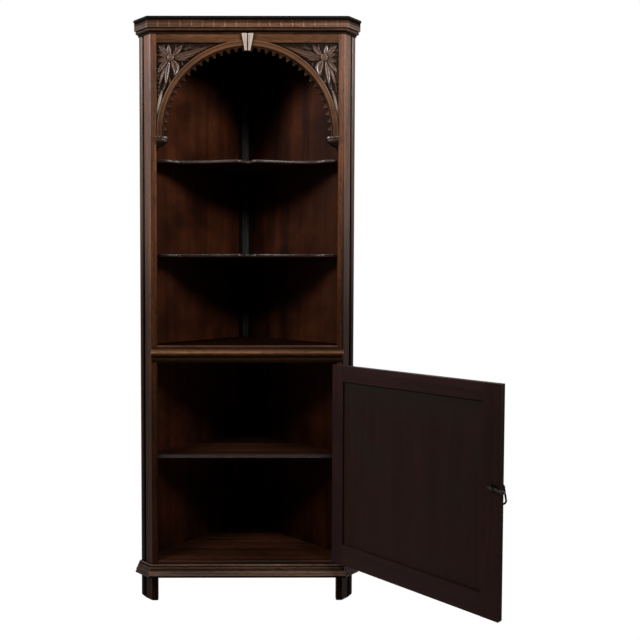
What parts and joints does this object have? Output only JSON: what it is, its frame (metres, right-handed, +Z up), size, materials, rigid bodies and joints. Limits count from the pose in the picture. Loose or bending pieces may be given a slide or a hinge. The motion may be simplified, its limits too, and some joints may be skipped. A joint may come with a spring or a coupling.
{
  "type": "corner cupboard",
  "caption": "Tall corner cupboard with canted corners, open shelves under a carved arch, and a framed door below that swings on butt hinges.",
  "frame": {"origin": "middle of the rear corner post's sole, on the floor in the corner of the room", "axes": "+Z up, -Y out of the front of the cupboard, +X to the right of someone who faces the front"},
  "size_m": [1.0143, 0.8314, 1.8],
  "materials": {
    "oak_front": "dark stained and waxed oak",
    "oak_inside": "dark stained oak, satin",
    "oak_door": "very dark stained oak, satin",
    "iron": "blackened iron",
    "brass": "dulled brass"
  },
  "bodies": {
    "carcass": {"stile_left": "oak_front", "stile_right": "oak_front", "rear_post": "oak_inside", "back_board_left": "oak_inside", "back_board_right": "oak_inside", "top_board": "oak_front", "cornice_front": "oak_front", "cornice_left": "oak_front", "cornice_right": "oak_front", "arch_rail": "oak_front", "keystone": "oak_front", "corbel_left": "oak_front", "corbel_right": "oak_front", "upper_shelf": "oak_inside", "middle_shelf": "oak_inside", "waist_board": "oak_front", "waist_rail": "oak_front", "waist_moulding": "oak_front", "lower_shelf": "oak_inside", "floor_board": "oak_inside", "plinth_rail": "oak_front", "plinth_moulding_front": "oak_front", "plinth_moulding_left": "oak_front", "plinth_moulding_right": "oak_front", "upper_hinge_frame_leaf": "brass", "upper_hinge_pin": "brass", "lower_hinge_frame_leaf": "brass", "lower_hinge_pin": "brass"},
    "door": {"door_hinge_stile": "oak_door", "door_latch_stile": "oak_door", "door_top_rail": "oak_door", "door_bottom_rail": "oak_door", "door_panel": "oak_door", "upper_hinge_door_leaf": "brass", "lower_hinge_door_leaf": "brass", "catch_inner_rose": "iron", "catch_outer_plate": "iron"},
    "catch": {"catch_spindle": "iron", "catch_tongue": "iron"},
    "drop": {"drop_handle": "iron"}
  },
  "joints": [
    {"name": "door_swing", "type": "hinge", "parent": "carcass", "child": "door", "pos_m": [0.2778, -0.362, 0.437], "axis": [0, 0, 1], "range_deg": [-132, 38]},
    {"name": "catch_turn", "type": "hinge", "parent": "door", "child": "catch", "pos_m": [0.62739, -0.77118, 0.478], "axis": [-0.7431, -0.6691, 0], "range_deg": [0, 99]},
    {"name": "drop_swing", "type": "hinge", "parent": "catch", "child": "drop", "pos_m": [0.65117, -0.74977, 0.478], "axis": [0.6691, -0.7431, 0], "range_deg": [-15, 110]}
  ]
}
